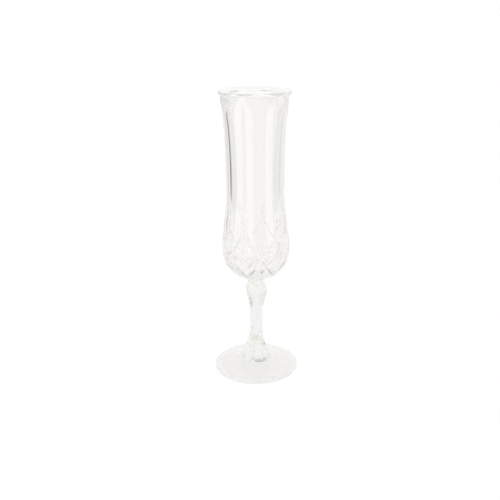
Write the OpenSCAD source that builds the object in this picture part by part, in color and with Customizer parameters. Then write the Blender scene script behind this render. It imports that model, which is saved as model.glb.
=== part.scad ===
// Champagne flute in pressed crystal: a cut bowl, a six-sided stem and a round foot, fused end to end.
// Origin: centre of the circle the foot stands on. +Z is up. Millimetres.

/* [Foot] */
// Diameter of the foot
foot_d = 62; // [50:1:80]
// Thickness of the foot at its rounded edge
foot_edge_t = 2; // [1.6:0.1:3]
// Height of the flat seat that the stem stands on
foot_h = 7.8; // [7:0.1:12]
// Diameter of the flat seat, which the foot of the stem covers
seat_d = 24.4; // [20:0.1:32]
// Width of the flat ring that touches the table
rest_ring_w = 3.6; // [2:0.1:6]
// Height of the dome under the foot
kick_depth = 5.5; // [1:0.1:5.5]

/* [Stem] */
// Length of the stem, from the foot's seat to the seam under the bowl
stem_h = 59.7; // [40:0.1:90]
// Distance across the flats of the flare, where they would reach the seat
flare_af = 25; // [24.6:0.1:30]
// Height of the flare
flare_h = 26; // [15:0.5:35]
// Distance across the flats of the straight column
column_af = 8.8; // [6:0.1:12]
// Distance across the flats of the knop
knop_af = 14.8; // [12:0.1:20]
// Height of the knop's widest point below the seam
knop_drop = 6.3; // [4:0.1:10]
// Length of the taper from the knop's widest point to the column
knop_taper_h = 15.2; // [10:0.1:22]

/* [Bowl] */
// Height of the bowl, from the seam to the rim
bowl_h = 137.5; // [110:0.5:170]
// Diameter of the boss that is fused to the stem
neck_d = 11.7; // [9:0.1:14]
// Radius of the fillet between the boss and the bowl's underside
neck_fillet = 1; // [0.5:0.1:2]
// Diameter at the belly
belly_d = 48.2; // [42:0.1:58]
// Height of the belly above the seam
belly_h = 25.5; // [22:0.1:34]
// Depth of the rounded underside below the belly
underside_h = 22.7; // [18:0.1:26]
// Diameter at the waist
waist_d = 41.1; // [36:0.1:48]
// Height of the waist above the seam
waist_h = 65.5; // [55:0.5:80]
// Diameter of the outer wall just under the lip
under_lip_d = 48; // [42:0.1:58]
// Diameter of the rim
rim_d = 50.2; // [44:0.1:62]
// Height of the lip
lip_h = 3.4; // [2.5:0.1:5]

/* [Hollow] */
// Thickness of the wall at the waist
waist_wall = 4.4; // [2:0.1:6]
// Thickness of the wall under the lip
rim_wall = 3; // [1.4:0.1:4]
// Diameter of the hollow where its rounded bottom begins
well_d = 32; // [24:0.1:34]
// Height above the seam where the rounded bottom begins
well_h = 27; // [22:0.1:36]
// Depth of the hollow's rounded bottom
well_bottom_h = 14.5; // [10:0.1:20]

/* [Cuts] */
// Number of diamonds round the belly, and of the stem's sides, in pairs
repeat = 6; // [4:2:8]
// Turn of the stem's ridges and of the diamonds' side corners from the front
turn = 10.5; // [-30:0.5:30]
// Angle between the faces of a cut
cut_angle = 100; // [80:1:120]
// Height of the diamonds' top corners above the seam
diamond_top_h = 40; // [34:0.5:46]
// Height of the diamonds' side corners above the seam
diamond_side_h = 25.7; // [20:0.1:30]
// Height of the diamonds' bottom corners above the seam
diamond_bottom_h = 11.5; // [8:0.1:16]
// Depth of the diamonds' cuts at their side corners
side_cut = 1.5; // [0.8:0.1:2.2]
// Depth of the diamonds' cuts at their top and bottom corners
end_cut = 0.8; // [0.4:0.1:1.5]
// Depth of the upright cuts that rise from the top corners
spear_cut = 1.5; // [0.8:0.1:2.2]
// Height above the seam where an upright cut begins
spear_low_h = 34.5; // [28:0.5:38]
// Height above the seam where an upright cut ends
spear_high_h = 60; // [50:0.5:64]
// Depth of the short cuts under the side corners
tail_cut = 1.5; // [0.8:0.1:2.2]
// Length of the short cuts under the side corners
tail_h = 10; // [6:0.5:14]

/* [Hidden] */
glass = [0.93, 0.95, 0.94, 0.45];
seam_z = foot_h + stem_h;
front = -90;
steps = 12;
// One fewer, so that the round body's edges never meet the sides' edges at one height.
round_steps = 11;
// For curves as short as a fillet.
few_steps = 4;

// Eases from 0 to 1 with level ends.
function ease(t) = (1 - cos(180 * t)) / 2;
function mix(a, b, t) = a + (b - a) * t;

// ---- Foot ----
foot_r = foot_d / 2;
seat_r = seat_d / 2;
ring_out_r = foot_r - foot_edge_t / 2;
ring_in_r = ring_out_r - rest_ring_w;
// A curve's power says how late it bends: the top of the foot steepens towards the stem.
foot_slope_power = 1.6;

function foot_top() = [for (i = [0:steps]) let (t = i / steps)
    [mix(ring_out_r, seat_r, t), mix(foot_edge_t, foot_h, pow(t, foot_slope_power))]];
function foot_edge() = [for (i = [1:steps - 1]) let (a = -90 + 180 * i / steps)
    [ring_out_r + foot_edge_t / 2 * cos(a), foot_edge_t / 2 * (1 + sin(a))]];
function foot_dome() = [for (i = [0:steps]) let (t = i / steps)
    [ring_in_r * t, kick_depth * ease(1 - t)]];

module foot() {
    color(glass) rotate_extrude($fn = 96)
        polygon(concat(foot_dome(), [[ring_out_r, 0]], foot_edge(), foot_top(), [[0, foot_h]]));
}

// ---- Stem ----
column_r = column_af / 2;
knop_r = knop_af / 2;
flare_r = flare_af / 2;
neck_r = neck_d / 2;
// How much further from the axis a ridge is than the sides beside it.
corner = 1 / cos(180 / repeat);
// The sides flare late, and the round body round them a little earlier, so that it trims their ridges.
flare_power = 2.7;
skirt_power = 2.2;
taper_power = 1.25;
// Room between the ridges and the round body that they are cut from.
ridge_room = 0.35;
column_room = column_r * corner + ridge_room;
knop_room = knop_r * corner + ridge_room;
knop_z = seam_z - knop_drop;
taper_z = knop_z - knop_taper_h;

function flare_at(low_r, high_r, power, count) = [for (i = [0:count]) let (t = 1 - i / count)
    [high_r + (low_r - high_r) * pow(t, power), foot_h + flare_h * (1 - t)]];

// The six sides from the seat up, as [distance from the axis, z].
function stem_flats() = concat(
    flare_at(flare_r, column_r, flare_power, steps),
    [for (i = [0:steps]) let (t = i / steps)
        [mix(column_r, knop_r, pow(t, taper_power)), taper_z + knop_taper_h * t]],
    [for (i = [1:steps]) let (t = i / steps)
        [mix(knop_r, neck_r * corner, 1 - cos(90 * t)), knop_z + knop_drop * t]]);

// The round body ends the sides in arches over the foot, and in the neck's circle at the seam.
function stem_round() = concat(
    [[0, foot_h]],
    flare_at(seat_r, column_room, skirt_power, round_steps),
    [[column_room, taper_z]],
    [for (i = [0:round_steps]) let (t = i / round_steps)
        [mix(knop_room, neck_r, 1 - cos(90 * t)), knop_z + knop_drop * t]],
    [[0, seam_z]]);

module flats_slab() {
    outline = stem_flats();
    mirrored = [for (i = [len(outline) - 1:-1:0]) [-outline[i][0], outline[i][1]]];
    rotate([90, 0, 0]) linear_extrude(2 * flare_af, center = true)
        polygon(concat(outline, mirrored));
}

module stem() {
    color(glass) rotate([0, 0, front + turn]) intersection() {
        rotate_extrude($fn = 96) polygon(stem_round());
        intersection_for(i = [0:repeat / 2 - 1])
            rotate([0, 0, (i + 0.5) * 360 / repeat]) flats_slab();
    }
}

// ---- Bowl ----
belly_r = belly_d / 2;
waist_r = waist_d / 2;
under_lip_r = under_lip_d / 2;
rim_r = rim_d / 2;
well_r = well_d / 2;
belly_z = seam_z + belly_h;
waist_z = seam_z + waist_h;
rim_z = seam_z + bowl_h;
lip_z = rim_z - lip_h;
well_z = seam_z + well_h;
// The outer wall turns out late, just under the lip, and the hollow widens earlier.
flare_out_power = 4;
hollow_power = 2.6;

// Radius of the outer wall at a height between the underside's pole and the lip.
function outer_r(z) =
    z < belly_z ? belly_r * sqrt(max(0, 1 - pow((belly_z - z) / underside_h, 2))) :
    z < waist_z ? mix(belly_r, waist_r, ease((z - belly_z) / (waist_z - belly_z))) :
    mix(waist_r, under_lip_r, pow((z - waist_z) / (lip_z - waist_z), flare_out_power));
// The hollow narrows evenly downwards, so that the plunger that shaped it can leave.
function inner_r(z) =
    z < well_z ? well_r * sqrt(max(0, 1 - pow((well_z - z) / well_bottom_h, 2))) :
    z < waist_z ? mix(well_r, waist_r - waist_wall, (z - well_z) / (waist_z - well_z)) :
    mix(waist_r - waist_wall, under_lip_r - rim_wall, pow((z - waist_z) / (lip_z - waist_z), hollow_power));

// Angle on the underside, from its pole, where the fillet leaves off.
fillet_r = neck_r + neck_fillet;
fillet_angle = asin(fillet_r / belly_r);
fillet_top_z = belly_z - underside_h * cos(fillet_angle);

function neck_curve() = [for (i = [0:few_steps]) let (a = 90 * i / few_steps)
    [neck_r + neck_fillet * (1 - cos(a)), mix(fillet_top_z - neck_fillet, fillet_top_z, sin(a))]];
function underside_curve() = [for (i = [1:steps]) let (a = mix(fillet_angle, 90, i / steps))
    [belly_r * sin(a), belly_z - underside_h * cos(a)]];
function side_curve() = [for (i = [1:steps]) let (z = mix(belly_z, waist_z, i / steps)) [outer_r(z), z]];
function flare_curve() = [for (i = [1:steps]) let (z = mix(waist_z, lip_z, i / steps)) [outer_r(z), z]];
// The lip turns out to the rim, and its top is rounded tightly outside and widely down to the hollow.
lip_round = rim_wall / 3;
function lip_curve() = concat(
    [for (i = [1:few_steps]) let (t = i / few_steps)
        [mix(under_lip_r, rim_r, ease(t)), mix(lip_z, rim_z - lip_round, t)]],
    [for (i = [1:few_steps]) let (a = 90 * i / few_steps)
        [rim_r - lip_round * (1 - cos(a)), rim_z - lip_round * (1 - sin(a))]],
    [for (i = [1:2 * few_steps - 1]) let (a = 90 * i / (2 * few_steps))
        [mix(rim_r - lip_round, inner_r(lip_z), sin(a)), mix(lip_z, rim_z, cos(a))]]);
function hollow_flare() = [for (i = [0:steps]) let (z = mix(lip_z, waist_z, i / steps)) [inner_r(z), z]];
// A straight side leads from the waist to the first point of the rounded bottom.
function hollow_bottom() = [for (i = [0:steps]) let (a = 90 - 90 * i / steps)
    [well_r * sin(a), well_z - well_bottom_h * cos(a)]];

module bowl_body() {
    rotate_extrude($fn = 128)
        polygon(concat([[0, seam_z], [neck_r, seam_z]], neck_curve(), underside_curve(), side_curve(),
            flare_curve(), lip_curve(), hollow_flare(), hollow_bottom()));
}

// Points on the outer wall, sunk by a depth, at a turn about the axis.
function sunk(turn, z, depth) = let (r = outer_r(z) - depth) [r * cos(turn), r * sin(turn), z];
function unit(v) = v / norm(v);
// Centre of the circle through three points.
function middle(a, b, c) = let (u = b - a, v = c - a, n = cross(u, v))
    a + (u * u * cross(v, n) + v * v * cross(n, u)) / (2 * n * n);

cut_slope = tan(cut_angle / 2);
// How far a cutter reaches out from the floor of its cut, well past the wall.
cut_reach = 4;
// A diamond's cuts run this many degrees past their corners, and those that lean one way are a
// touch deeper, so that two cuts cross cleanly.
overrun = 3;
stagger = 0.06;

// A V cut whose floor is the arc from a through b to c.
module arc_cut(a, b, c) {
    o = middle(a, b, c);
    r = norm(b - o);
    x = unit(b - o);
    z = unit(cross(a - b, c - b));
    y = cross(z, x);
    from = atan2((c - o) * y, (c - o) * x);
    to = atan2((a - o) * y, (a - o) * x);
    multmatrix([[x[0], y[0], z[0], o[0]], [x[1], y[1], z[1], o[1]], [x[2], y[2], z[2], o[2]]])
        rotate([0, 0, min(from, to) - overrun])
        rotate_extrude(angle = abs(to - from) + 2 * overrun, $fn = 96)
            polygon([[r, 0], [r + cut_reach, cut_reach * cut_slope],
                [r + cut_reach, -cut_reach * cut_slope]]);
}

// A cut made by the sharp edge of a wheel, running out on the wall at two heights.
module wheel_cut(turn, low_z, high_z, depth) {
    low_r = outer_r(low_z);
    high_r = outer_r(high_z);
    half = norm([low_r - high_r, low_z - high_z]) / 2;
    wheel_r = (half * half + depth * depth) / (2 * depth);
    rotate([0, 0, turn]) translate([(low_r + high_r) / 2, 0, (low_z + high_z) / 2])
        rotate([0, atan2(high_r - low_r, high_z - low_z), 0]) translate([wheel_r - depth, 0, 0])
            for (s = [-1, 1]) rotate([90 * s, 0, 0])
                cylinder(r1 = wheel_r, r2 = wheel_r - cut_reach, h = cut_reach * cut_slope, $fn = 96);
}

pitch = 360 / repeat;
top_z = seam_z + diamond_top_h;
side_z = seam_z + diamond_side_h;
bottom_z = seam_z + diamond_bottom_h;
// The short cuts begin this far under the side corners.
tail_gap = 2;
tail_z = side_z - tail_gap;

module bowl_cuts() {
    for (i = [0:repeat - 1]) {
        side_turn = front + turn + i * pitch;
        // Two cuts cross at each side corner, from a top corner to the next diamond's bottom corner.
        for (s = [-1, 1])
            arc_cut(sunk(side_turn - s * pitch / 2, top_z, end_cut + stagger * s),
                sunk(side_turn, side_z, side_cut + stagger * s),
                sunk(side_turn + s * pitch / 2, bottom_z, end_cut));
        wheel_cut(side_turn + pitch / 2, seam_z + spear_low_h, seam_z + spear_high_h, spear_cut);
        wheel_cut(side_turn, tail_z - tail_h, tail_z, tail_cut);
    }
}

module bowl() {
    color(glass) difference() {
        bowl_body();
        bowl_cuts();
    }
}

bowl();
stem();
foot();
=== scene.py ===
"""A cut crystal champagne flute, on a pale floor in a white studio."""

import math

import bpy
import numpy as np
from mathutils import Matrix, Vector


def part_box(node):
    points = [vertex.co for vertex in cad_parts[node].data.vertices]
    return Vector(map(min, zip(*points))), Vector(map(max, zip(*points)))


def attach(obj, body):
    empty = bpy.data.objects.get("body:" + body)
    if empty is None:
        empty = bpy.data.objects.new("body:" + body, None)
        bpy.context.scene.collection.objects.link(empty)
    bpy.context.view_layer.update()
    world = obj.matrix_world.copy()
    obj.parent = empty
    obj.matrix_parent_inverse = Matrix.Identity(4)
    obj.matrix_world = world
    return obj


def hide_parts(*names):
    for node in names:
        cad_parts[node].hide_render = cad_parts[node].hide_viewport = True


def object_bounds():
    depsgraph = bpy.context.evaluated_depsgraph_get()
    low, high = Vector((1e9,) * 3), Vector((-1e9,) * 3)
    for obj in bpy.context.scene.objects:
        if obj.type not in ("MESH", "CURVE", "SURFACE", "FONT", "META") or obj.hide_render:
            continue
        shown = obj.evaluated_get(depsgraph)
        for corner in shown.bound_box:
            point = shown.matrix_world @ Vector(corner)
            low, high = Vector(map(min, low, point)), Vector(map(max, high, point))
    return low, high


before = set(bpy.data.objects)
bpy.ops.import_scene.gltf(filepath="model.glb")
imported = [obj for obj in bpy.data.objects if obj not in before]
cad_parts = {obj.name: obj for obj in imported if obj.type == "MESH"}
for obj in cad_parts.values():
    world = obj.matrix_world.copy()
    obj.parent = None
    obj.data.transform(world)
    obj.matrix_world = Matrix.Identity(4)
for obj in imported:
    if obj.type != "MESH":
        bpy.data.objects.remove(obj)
cad_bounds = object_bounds()

# ---- Sizes, in millimetres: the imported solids' boxes, and the driving sizes of the design ----

MM = 0.001


def box_mm(node):
    low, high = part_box(node)
    return Vector(low) / MM, Vector(high) / MM


BOWL_LOW, BOWL_HIGH = box_mm("bowl")
FOOT_HIGH = box_mm("foot")[1]

SEAT_Z = FOOT_HIGH.z
SEAM_Z = BOWL_LOW.z
RIM_Z = BOWL_HIGH.z
RIM_R = BOWL_HIGH.x
FOOT_R = FOOT_HIGH.x

# The cuts and the stem's flats repeat round the axis, from one of the stem's ridges.
REPEAT = 6
PITCH = math.tau / REPEAT
TURN = math.radians(-90 + 10.5)
# Pieces that are fused in the real glass reach this far into each other.
FUSE = 0.04

FOOT_EDGE_T = 2.0
REST_RING_W = 3.6
KICK_DEPTH = 5.5
FOOT_SLOPE_POWER = 1.6

SEAT_R = 12.2
FLARE_R = 12.5
FLARE_H = 26.0
FLARE_POWER = 2.7
SKIRT_POWER = 2.2
RIDGE_ROOM = 0.35
COLUMN_R = 4.4
KNOP_R = 7.4
KNOP_DROP = 6.3
TAPER_H = 15.2
TAPER_POWER = 1.25
RIDGE_ROUND = 0.35

NECK_R = 5.85
NECK_FILLET = 1.0
BELLY_R = 24.1
BELLY_Z = SEAM_Z + 25.5
UNDERSIDE_H = 22.7
WAIST_R = 20.55
WAIST_Z = SEAM_Z + 65.5
UNDER_LIP_R = 24.0
LIP_Z = RIM_Z - 3.4
FLARE_OUT_POWER = 4
WAIST_WALL = 4.4
RIM_WALL = 3.0
LIP_ROUND = RIM_WALL / 3
WELL_R = 16.0
WELL_Z = SEAM_Z + 27.0
WELL_BOTTOM_H = 14.5
HOLLOW_POWER = 2.6

CUT_SLOPE = math.tan(math.radians(50))
TOP_Z = SEAM_Z + 40.0
SIDE_Z = SEAM_Z + 25.7
BOTTOM_Z = SEAM_Z + 11.5
SIDE_CUT = 1.5
END_CUT = 0.8
STAGGER = 0.06
OVERRUN = math.radians(3)
SPEAR_Z = (SEAM_Z + 34.5, SEAM_Z + 60.0)
SPEAR_CUT = 1.5
TAIL_Z = (SIDE_Z - 12.0, SIDE_Z - 2.0)
TAIL_CUT = 1.5
# Widths over which a cut's floor, and the edge where it meets the wall, are rounded.
FLOOR_ROUND = 0.4
EDGE_ROUND = 0.8

# ---- How finely the pieces are meshed ----

FOOT_COLUMNS = 192
STEM_COLUMNS = 240
BOWL_COLUMNS = 384
# The bowl's rows are close together up to this height, which is clear of the highest cut.
FINE_TOP = SPEAR_Z[1] + 1
# A point sinks into a cut in this many steps, and by this much at most.
SINK_STEPS = 14
SINK_LIMIT = 4

# ---- Curves ----


def mix(a, b, t):
    return a + (b - a) * t


def ease(t):
    """From 0 to 1 with level ends."""
    return (1 - np.cos(np.pi * np.asarray(t))) / 2


def spans(start, end, rows):
    """Even steps from start to end, without start."""
    return np.linspace(start, end, rows + 1)[1:]


def soft_max(a, b, blend):
    """The larger of two values, rounded where they cross."""
    near = np.maximum(blend - np.abs(a - b), 0) / blend
    return np.maximum(a, b) + near * near * blend / 4


def dome_r(z, widest_r, widest_z, height):
    """Radius of a rounded bottom, by its widest radius and its height."""
    return widest_r * np.sqrt(np.clip(1 - ((widest_z - z) / height) ** 2, 0, 1))


def above_waist(z):
    """From 0 at the bowl's waist to 1 under the lip."""
    return np.clip((z - WAIST_Z) / (LIP_Z - WAIST_Z), 0, None)


def outer_r(z):
    """Radius of the bowl's outer wall."""
    z = np.asarray(z, dtype=float)
    under = dome_r(z, BELLY_R, BELLY_Z, UNDERSIDE_H)
    side = mix(BELLY_R, WAIST_R, ease((z - BELLY_Z) / (WAIST_Z - BELLY_Z)))
    flare = mix(WAIST_R, UNDER_LIP_R, above_waist(z) ** FLARE_OUT_POWER)
    return np.where(z < BELLY_Z, under, np.where(z < WAIST_Z, side, flare))


def inner_r(z):
    """Radius of the bowl's hollow."""
    z = np.asarray(z, dtype=float)
    waist = WAIST_R - WAIST_WALL
    bottom = dome_r(z, WELL_R, WELL_Z, WELL_BOTTOM_H)
    side = mix(WELL_R, waist, (z - WELL_Z) / (WAIST_Z - WELL_Z))
    flare = mix(waist, UNDER_LIP_R - RIM_WALL, above_waist(z) ** HOLLOW_POWER)
    return np.where(z < WELL_Z, bottom, np.where(z < WAIST_Z, side, flare))


# ---- Cuts in the bowl, as functions that are positive inside a cutter ----


def sunk(turn, z, depth):
    """A point under the outer wall."""
    r = float(outer_r(z)) - depth
    return np.array([r * math.cos(turn), r * math.sin(turn), z])


def across(q):
    """Distance from a cut's middle plane, rounded so that the cut's floor isn't a knife edge."""
    return np.sqrt(q * q + FLOOR_ROUND * FLOOR_ROUND)


def arc_cut(a, b, c):
    """A V cut whose floor is the arc from a through b to c."""
    u, v = b - a, c - a
    n = np.cross(u, v)
    middle = a + (u @ u * np.cross(v, n) + v @ v * np.cross(n, u)) / (2 * n @ n)
    radius = np.linalg.norm(b - middle)
    x = (b - middle) / radius
    z = n / np.linalg.norm(n)
    y = np.cross(z, x)
    ends = [math.atan2((p - middle) @ y, (p - middle) @ x) for p in (a, c)]
    low, high = min(ends) - OVERRUN, max(ends) + OVERRUN

    def inside(p):
        d = p - middle
        px, py = d @ x, d @ y
        angle = np.arctan2(py, px)
        past = np.maximum(np.maximum(low - angle, angle - high), 0) * radius
        return np.hypot(px, py) - radius - across(d @ z) / CUT_SLOPE - past

    return inside


def wheel_cut(turn, low_z, high_z, depth):
    """A cut made by the sharp edge of a wheel, running out on the wall at two heights."""
    low_r, high_r = float(outer_r(low_z)), float(outer_r(high_z))
    half = math.hypot(low_r - high_r, low_z - high_z) / 2
    wheel_r = (half * half + depth * depth) / (2 * depth)
    lean = math.atan2(high_r - low_r, high_z - low_z)
    out = wheel_r - depth
    centre_r = (low_r + high_r) / 2 + out * math.cos(lean)
    centre_z = (low_z + high_z) / 2 - out * math.sin(lean)
    radial = np.array([math.cos(turn), math.sin(turn), 0])
    tangent = np.array([-math.sin(turn), math.cos(turn), 0])
    other_side = -2 * SINK_LIMIT

    def inside(p):
        rho = np.hypot(p @ radial - centre_r, p[..., 2] - centre_z)
        return np.where(p @ radial > 0, wheel_r - across(p @ tangent) / CUT_SLOPE - rho, other_side)

    return inside


def bowl_cuts():
    cuts = []
    for i in range(REPEAT):
        side = TURN + i * PITCH
        for s in (-1, 1):
            top = sunk(side - s * PITCH / 2, TOP_Z, END_CUT + STAGGER * s)
            middle = sunk(side, SIDE_Z, SIDE_CUT + STAGGER * s)
            bottom = sunk(side + s * PITCH / 2, BOTTOM_Z, END_CUT)
            cuts.append(arc_cut(top, middle, bottom))
        cuts.append(wheel_cut(side + PITCH / 2, *SPEAR_Z, SPEAR_CUT))
        cuts.append(wheel_cut(side, *TAIL_Z, TAIL_CUT))
    return cuts


def carve(points, normals, cuts):
    """Sinks the outer wall's points into the cuts, along the wall's normals."""
    depth = np.zeros(points.shape[:-1])
    for inside in cuts:
        sink = np.zeros_like(depth)
        for _ in range(SINK_STEPS):
            sink = np.clip(sink + inside(points - normals * sink[..., None]), -SINK_LIMIT, SINK_LIMIT)
        depth = soft_max(depth, sink, EDGE_ROUND)
    return points - normals * depth[..., None]


# ---- Meshes ----


def ring(r, z, turns):
    """A row of points round the axis."""
    r = np.broadcast_to(r, turns.shape)
    return np.stack([r * np.cos(turns), r * np.sin(turns), np.broadcast_to(z, turns.shape)], axis=-1)


def closed_mesh(name, rows, sharp_angle=40):
    """A closed solid from rows of points round the axis. A pole closes each end."""
    rows = np.asarray(rows) * MM
    row_count, columns = rows.shape[:2]
    poles = [[0, 0, rows[k, :, 2].mean()] for k in (0, -1)]
    points = np.concatenate([rows.reshape(-1, 3), poles])
    index = np.arange(row_count * columns).reshape(row_count, columns)
    onward = np.roll(index, -1, axis=1)
    quads = np.stack([index[:-1], onward[:-1], onward[1:], index[1:]], axis=-1).reshape(-1, 4)
    first, last = row_count * columns, row_count * columns + 1
    caps = [(first, b, a) for a, b in zip(index[0], onward[0])]
    caps += [(last, a, b) for a, b in zip(index[-1], onward[-1])]
    mesh = bpy.data.meshes.new(name)
    mesh.from_pydata(points.tolist(), [], quads.tolist() + caps)
    mesh.shade_smooth()
    mesh.set_sharp_from_angle(angle=math.radians(sharp_angle))
    piece = bpy.data.objects.new(name, mesh)
    bpy.context.scene.collection.objects.link(piece)
    return piece


def turns_round(columns):
    return TURN + np.arange(columns) * math.tau / columns


def make_foot():
    turns = turns_round(FOOT_COLUMNS)
    edge = FOOT_EDGE_T / 2
    ring_out = FOOT_R - edge
    ring_in = ring_out - REST_RING_W
    rows = [(ring_in * t, KICK_DEPTH * ease(1 - t)) for t in spans(0, 1, rows=24)]
    rows += [(mix(ring_in, ring_out, t), 0) for t in (0.05, 0.5, 0.95, 1)]
    rows += [(ring_out + edge * math.cos(a), edge * (1 + math.sin(a)))
             for a in spans(-math.pi / 2, math.pi / 2, rows=12)]
    rows += [(mix(ring_out, SEAT_R, t), mix(FOOT_EDGE_T, SEAT_Z, t**FOOT_SLOPE_POWER))
             for t in spans(0, 1, rows=48)]
    rows += [(SEAT_R * t, SEAT_Z) for t in (0.97, 0.9, 0.6, 0.3)]
    return closed_mesh("foot_disc", [ring(r, z, turns) for r, z in rows])


def sides_r(flat_r, turns):
    """Radius of a rounded six-sided outline at each turn, by the radius of its flats."""
    from_flat = (turns - TURN) % PITCH - PITCH / 2
    here = flat_r / np.cos(from_flat)
    beside = flat_r / np.cos(np.abs(from_flat) - PITCH)
    return -soft_max(-here, -beside, RIDGE_ROUND)


def make_stem():
    turns = turns_round(STEM_COLUMNS)
    knop_z = SEAM_Z - KNOP_DROP
    taper_z = knop_z - TAPER_H
    corner = 1 / math.cos(PITCH / 2)
    column_room = COLUMN_R * corner + RIDGE_ROOM
    knop_room = KNOP_R * corner + RIDGE_ROOM
    rows = [ring(SEAT_R * t, SEAT_Z - FUSE, turns) for t in (0.3, 0.7, 0.98)]

    def add(flat_r, round_r, z):
        rows.append(ring(-soft_max(-sides_r(flat_r, turns), -round_r, RIDGE_ROUND), z, turns))

    for t in np.linspace(1, 0, num=70):
        flat_r = mix(COLUMN_R, FLARE_R, t**FLARE_POWER)
        add(flat_r, mix(column_room, SEAT_R, t**SKIRT_POWER), SEAT_Z + FLARE_H * (1 - t))
    for z in spans(SEAT_Z + FLARE_H, taper_z, rows=8):
        add(COLUMN_R, column_room, z)
    for t in spans(0, 1, rows=44):
        add(mix(COLUMN_R, KNOP_R, t**TAPER_POWER), knop_room, taper_z + TAPER_H * t)
    for t in spans(0, 1, rows=28):
        turned = 1 - math.cos(t * math.pi / 2)
        add(mix(KNOP_R, NECK_R * corner, turned), mix(knop_room, NECK_R, turned), knop_z + KNOP_DROP * t)
    rows += [ring(NECK_R * t, SEAM_Z + FUSE, turns) for t in (0.98, 0.6, 0.3)]
    return closed_mesh("stem_with_knop", rows)


def bowl_outside():
    """The outer wall's profile from the neck's fillet to the lip, as [r, z] points."""
    fillet_r = NECK_R + NECK_FILLET
    start = math.asin(fillet_r / BELLY_R)
    fillet_z = BELLY_Z - UNDERSIDE_H * math.cos(start)
    neck = [(NECK_R + NECK_FILLET * (1 - math.cos(a)), mix(fillet_z - NECK_FILLET, fillet_z, math.sin(a)))
            for a in np.linspace(0, math.pi / 2, num=7)]
    underside = [(BELLY_R * math.sin(a), BELLY_Z - UNDERSIDE_H * math.cos(a))
                 for a in spans(start, math.pi / 2, rows=68)]
    heights = np.concatenate([spans(BELLY_Z, FINE_TOP, rows=76), spans(FINE_TOP, LIP_Z, rows=24)])
    return neck + underside + [(float(outer_r(z)), z) for z in heights]


def bowl_lip():
    """The lip's profile, out and up to the rim and then down to the hollow."""
    turned_out = [(float(mix(UNDER_LIP_R, RIM_R, ease(t))), mix(LIP_Z, RIM_Z - LIP_ROUND, t))
                  for t in spans(0, 1, rows=6)]
    over = [(RIM_R - LIP_ROUND * (1 - math.cos(a)), RIM_Z - LIP_ROUND * (1 - math.sin(a)))
            for a in spans(0, math.pi / 2, rows=8)]
    inside = [(mix(RIM_R - LIP_ROUND, float(inner_r(LIP_Z)), math.sin(a)), mix(LIP_Z, RIM_Z, math.cos(a)))
              for a in spans(0, math.pi / 2, rows=14)]
    return turned_out + over + inside


def bowl_inside():
    """The hollow's profile from the lip down, without its lowest point."""
    heights = np.concatenate([spans(LIP_Z, WAIST_Z, rows=20), spans(WAIST_Z, WELL_Z, rows=8)])
    bottom = [(WELL_R * math.sin(a), WELL_Z - WELL_BOTTOM_H * math.cos(a))
              for a in spans(math.pi / 2, 0, rows=20)[:-1]]
    return [(float(inner_r(z)), z) for z in heights] + bottom


def make_bowl():
    turns = turns_round(BOWL_COLUMNS)
    base = [ring(NECK_R * t, SEAM_Z, turns) for t in (0.3, 0.7, 0.97, 1)]
    profile = np.array(bowl_outside())
    outside = np.array([ring(r, z, turns) for r, z in profile])
    slope = np.gradient(profile, axis=0)
    steepness = np.hypot(slope[:, 0], slope[:, 1])
    normals = np.array([ring(dz / length, -dr / length, turns)
                        for (dr, dz), length in zip(slope, steepness)])
    outside = carve(outside, normals, bowl_cuts())
    rest = [ring(r, z, turns) for r, z in bowl_lip() + bowl_inside()]
    return closed_mesh("bowl_cut_crystal", base + list(outside) + rest, sharp_angle=60)


# ---- Materials ----

CRYSTAL_IOR = 1.53
# The faces inside a fused joint can't be seen, so they hardly bend light.
JOIN_IOR = 1.001
CLEAR = (1, 1, 1)
# The bowl's tint is all on its outside, so that light is tinted alike with and without the hollow.
BOWL_TINT = (0.885, 0.875, 0.85)
STEM_TINT = (0.87, 0.862, 0.84)
# The foot's tint is partly the glass's own tint and partly painted shade. It is darker than the bowl's so
# that it stands in for the shade the foot would throw on the floor under it.
FOOT_TINT_WITH_PAINTED_SHADE = (0.855, 0.846, 0.822)
RIPPLE = 0.02
RIPPLE_SCALE = 90
RIPPLE_DETAIL = 2
# Each piece's material slots, and how level a joint's faces are.
OUTSIDE, HOLLOW, JOIN = range(3)
LEVEL = 0.9


def glass(name, tint, ior, ripple):
    """Clear glass with a tint, and with the faint ripple that pressing leaves in it."""
    material = bpy.data.materials.new(name)
    material.use_nodes = True
    tree = material.node_tree
    shader = tree.nodes["Principled BSDF"]
    shader.inputs["Base Color"].default_value = (*tint, 1)
    shader.inputs["Transmission Weight"].default_value = 1
    shader.inputs["IOR"].default_value = ior
    shader.inputs["Roughness"].default_value = 0.0
    where = tree.nodes.new("ShaderNodeTexCoord")
    noise = tree.nodes.new("ShaderNodeTexNoise")
    noise.inputs["Scale"].default_value = RIPPLE_SCALE
    noise.inputs["Detail"].default_value = RIPPLE_DETAIL
    bump = tree.nodes.new("ShaderNodeBump")
    bump.inputs["Distance"].default_value = MM
    bump.inputs["Strength"].default_value = ripple
    tree.links.new(where.outputs["Object"], noise.inputs["Vector"])
    tree.links.new(noise.outputs["Fac"], bump.inputs["Height"])
    tree.links.new(bump.outputs["Normal"], shader.inputs["Normal"])
    return material


def place(piece, node, outside, hollow, join):
    """Puts a piece in its node's place. Its faces inside a fused joint let light pass straight on."""
    for material in (outside, hollow, join):
        piece.data.materials.append(material)
    for face in piece.data.polygons:
        to_joint = min(abs(face.center.z / MM - z) for z in (SEAT_Z, SEAM_Z))
        if abs(face.normal.z) > LEVEL and to_joint < 2 * FUSE:
            face.material_index = JOIN
        elif node == "bowl" and face.center.xy @ face.normal.xy <= 0:
            face.material_index = HOLLOW
        else:
            face.material_index = OUTSIDE
    # Clear glass on a lit table throws next to no shadow.
    piece.visible_shadow = False
    piece.visible_diffuse = False
    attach(piece, "root")
    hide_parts(node)


def crystal(name, tint):
    return glass(name, tint, CRYSTAL_IOR, RIPPLE)


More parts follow.
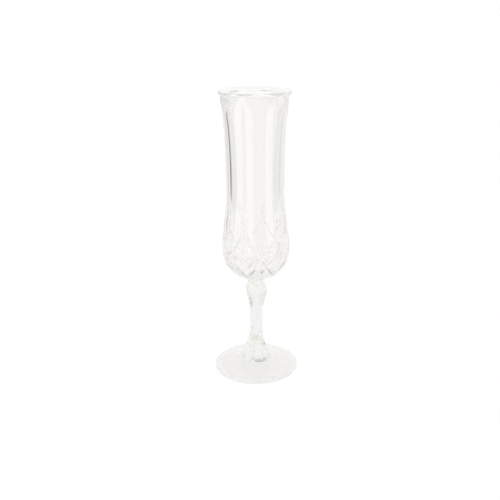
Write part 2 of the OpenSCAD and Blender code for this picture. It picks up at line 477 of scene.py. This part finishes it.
hollow_crystal = crystal("hollow_crystal", CLEAR)
fused_join = glass("fused_join", CLEAR, JOIN_IOR, ripple=0)
place(make_bowl(), "bowl", crystal("bowl_crystal", BOWL_TINT), hollow_crystal, fused_join)
place(make_stem(), "stem", crystal("stem_crystal", STEM_TINT), hollow_crystal, fused_join)
place(make_foot(), "foot", crystal("foot_crystal_with_painted_shade", FOOT_TINT_WITH_PAINTED_SHADE), hollow_crystal, fused_join)

# ---- Floor, light and camera, in metres ----

FLOOR_R = 40
FLOOR_TONE = 0.9

# The studio's light by how far up a direction points, from 0 for level to 1 for straight up.
WALL_UP, WALL_LIGHT = 0.5, 1.0
CEILING_UP, CEILING_LIGHT = 0.9, 0.55
SUN_LIGHT = 1.2
SUN_SPREAD = math.radians(60)
SUN_TILT = math.radians(20)
SUN_TURN = math.radians(-30)

# Cards stand round the flute, and the runners lie behind it. A tone of 1 is as bright as the walls.
CARD_H = 0.5
WINDOW_DISTANCE = 0.33
FLAG_DISTANCE = 0.3
BOARD_ENDS = (Vector((-0.46, 0.5, 0)), Vector((-0.75, 0.5, 0)))
BOARD_H = 0.4
RUNNER_PLAN = [(0.24, 0.17), (0.50, 0.50), (0.75, 0.50), (0.42, 0.10)]
RUNNER_Z = 0.5 * MM
RUNNER_FADE = (0.2, 0.34)

# The camera's place is in heights of the flute, and its shift in widths of the picture.
CAMERA_BACK = 2.26
CAMERA_UP = 1.25
CAMERA_PITCH = math.radians(19.5)
CAMERA_ROLL = math.radians(-0.35)
CAMERA_SHIFT = -0.0114
SENSOR_W_MM = 36
LENS_MM = 49.2

# Light runs a long way inside the walls before it leaves them.
BOUNCES = 96


def make_floor():
    bpy.ops.mesh.primitive_circle_add(vertices=64, radius=FLOOR_R, fill_type="NGON")
    floor = bpy.context.object
    floor.name = "floor"
    paper = bpy.data.materials.new("white_paper")
    paper.use_nodes = True
    shader = paper.node_tree.nodes["Principled BSDF"]
    shader.inputs["Base Color"].default_value = (FLOOR_TONE, FLOOR_TONE, FLOOR_TONE, 1)
    shader.inputs["Roughness"].default_value = 1
    shader.inputs["Specular IOR Level"].default_value = 0
    floor.data.materials.append(paper)


make_floor()


def make_world():
    """A white studio, dimmer towards the ceiling."""
    world = bpy.data.worlds.new("studio")
    bpy.context.scene.world = world
    world.use_nodes = True
    tree = world.node_tree
    background = tree.nodes["Background"]
    background.inputs["Color"].default_value = (1, 1, 1, 1)
    where = tree.nodes.new("ShaderNodeTexCoord")
    split = tree.nodes.new("ShaderNodeSeparateXYZ")
    dimming = tree.nodes.new("ShaderNodeMapRange")
    dimming.inputs["From Min"].default_value = WALL_UP
    dimming.inputs["From Max"].default_value = CEILING_UP
    dimming.inputs["To Min"].default_value = WALL_LIGHT
    dimming.inputs["To Max"].default_value = CEILING_LIGHT
    tree.links.new(where.outputs["Generated"], split.inputs["Vector"])
    tree.links.new(split.outputs["Z"], dimming.inputs["Value"])
    tree.links.new(dimming.outputs["Result"], background.inputs["Strength"])


make_world()


def make_card(name, corners, tone, fade=None):
    """A studio card, seen only in the glass.

    A fade is the stretch behind the flute over which it turns from white to its tone.
    """
    mesh = bpy.data.meshes.new(name)
    mesh.from_pydata(corners, [], [(0, 1, 2, 3)])
    card = bpy.data.objects.new(name, mesh)
    bpy.context.scene.collection.objects.link(card)
    paint = bpy.data.materials.new(name)
    paint.use_nodes = True
    tree = paint.node_tree
    shader = tree.nodes["Principled BSDF"]
    shader.inputs["Base Color"].default_value = (0, 0, 0, 1)
    shader.inputs["Specular IOR Level"].default_value = 0
    shader.inputs["Emission Color"].default_value = (1, 1, 1, 1)
    shader.inputs["Emission Strength"].default_value = tone
    if fade:
        where = tree.nodes.new("ShaderNodeTexCoord")
        split = tree.nodes.new("ShaderNodeSeparateXYZ")
        along = tree.nodes.new("ShaderNodeMapRange")
        along.inputs["From Min"].default_value, along.inputs["From Max"].default_value = fade
        along.inputs["To Min"].default_value = 1
        along.inputs["To Max"].default_value = tone
        tree.links.new(where.outputs["Object"], split.inputs["Vector"])
        tree.links.new(split.outputs["Y"], along.inputs["Value"])
        tree.links.new(along.outputs["Result"], shader.inputs["Emission Strength"])
    card.data.materials.append(paint)
    card.visible_camera = False
    card.visible_diffuse = False
    card.visible_shadow = False
    return card


def make_upright(name, left, right, height, tone):
    """A card that stands on the floor between two points."""
    top = Vector((0, 0, height))
    return make_card(name, [left, right, right + top, left + top], tone)


def outward(azimuth):
    """The direction at degrees to the right of straight behind the flute."""
    turn = math.radians(azimuth)
    return Vector((math.sin(turn), math.cos(turn), 0))


def make_window(name, azimuth, width, tone):
    """A tall bright pane on the camera's side or beside the flute."""
    out = outward(azimuth)
    middle = out * WINDOW_DISTANCE
    half = Vector((out.y, -out.x, 0)) * width / 2
    pane = make_upright(name, middle - half, middle + half, CARD_H, tone)
    # The panes only shine on the glass, so that they don't wash it out when they stand behind it.
    pane.visible_transmission = False


def make_runner(name, side, tone):
    """A darker strip of floor behind the flute, at one side, which draws the bowl's wall as a line."""
    make_card(name, [(side * x, y, RUNNER_Z) for x, y in RUNNER_PLAN], tone, fade=RUNNER_FADE)


def make_flag(name, azimuths, tone):
    """A tall grey card behind or beside the flute, which greys a stretch of the bowl's wall."""
    ends = [outward(azimuth) * FLAG_DISTANCE for azimuth in azimuths]
    make_upright(name, *ends, CARD_H, tone)


make_flag("flag_left", (-61, -104), 0.85)
make_flag("flag_behind_left", (-16, -45), 0.93)
make_flag("flag_behind_right", (16, 45), 0.96)
make_flag("flag_right", (64, 104), 0.88)
make_upright("board_left", *BOARD_ENDS, BOARD_H, 0.35)
make_runner("runner_left", -1, 0.2)
make_runner("runner_right", 1, 0.8)
make_window("window_near", 200.5, 0.15, 2.3)
make_window("window_far", 242.5, 0.16, 2.3)
make_window("window_right", 128, 0.16, 2.2)


def make_sun():
    light = bpy.data.lights.new("daylight", "SUN")
    light.energy = SUN_LIGHT
    light.angle = SUN_SPREAD
    sun = bpy.data.objects.new("daylight", light)
    sun.rotation_euler = (SUN_TILT, 0, SUN_TURN)
    sun.visible_glossy = False
    sun.visible_transmission = False
    bpy.context.scene.collection.objects.link(sun)


make_sun()


def make_camera():
    height = cad_bounds[1][2] - cad_bounds[0][2]
    lens = bpy.data.cameras.new("camera")
    lens.sensor_width = SENSOR_W_MM
    lens.lens = LENS_MM
    lens.shift_x = CAMERA_SHIFT
    lens.clip_start = 0.01
    lens.clip_end = 200
    camera = bpy.data.objects.new("camera", lens)
    camera.location = (0, -CAMERA_BACK * height, CAMERA_UP * height)
    look = Matrix.Rotation(math.pi / 2 - CAMERA_PITCH, 4, "X") @ Matrix.Rotation(CAMERA_ROLL, 4, "Z")
    camera.rotation_euler = look.to_euler()
    bpy.context.scene.collection.objects.link(camera)
    bpy.context.scene.camera = camera


make_camera()

scene = bpy.context.scene
scene.view_settings.view_transform = "Standard"
scene.cycles.max_bounces = BOUNCES
scene.cycles.transmission_bounces = BOUNCES
scene.cycles.glossy_bounces = BOUNCES
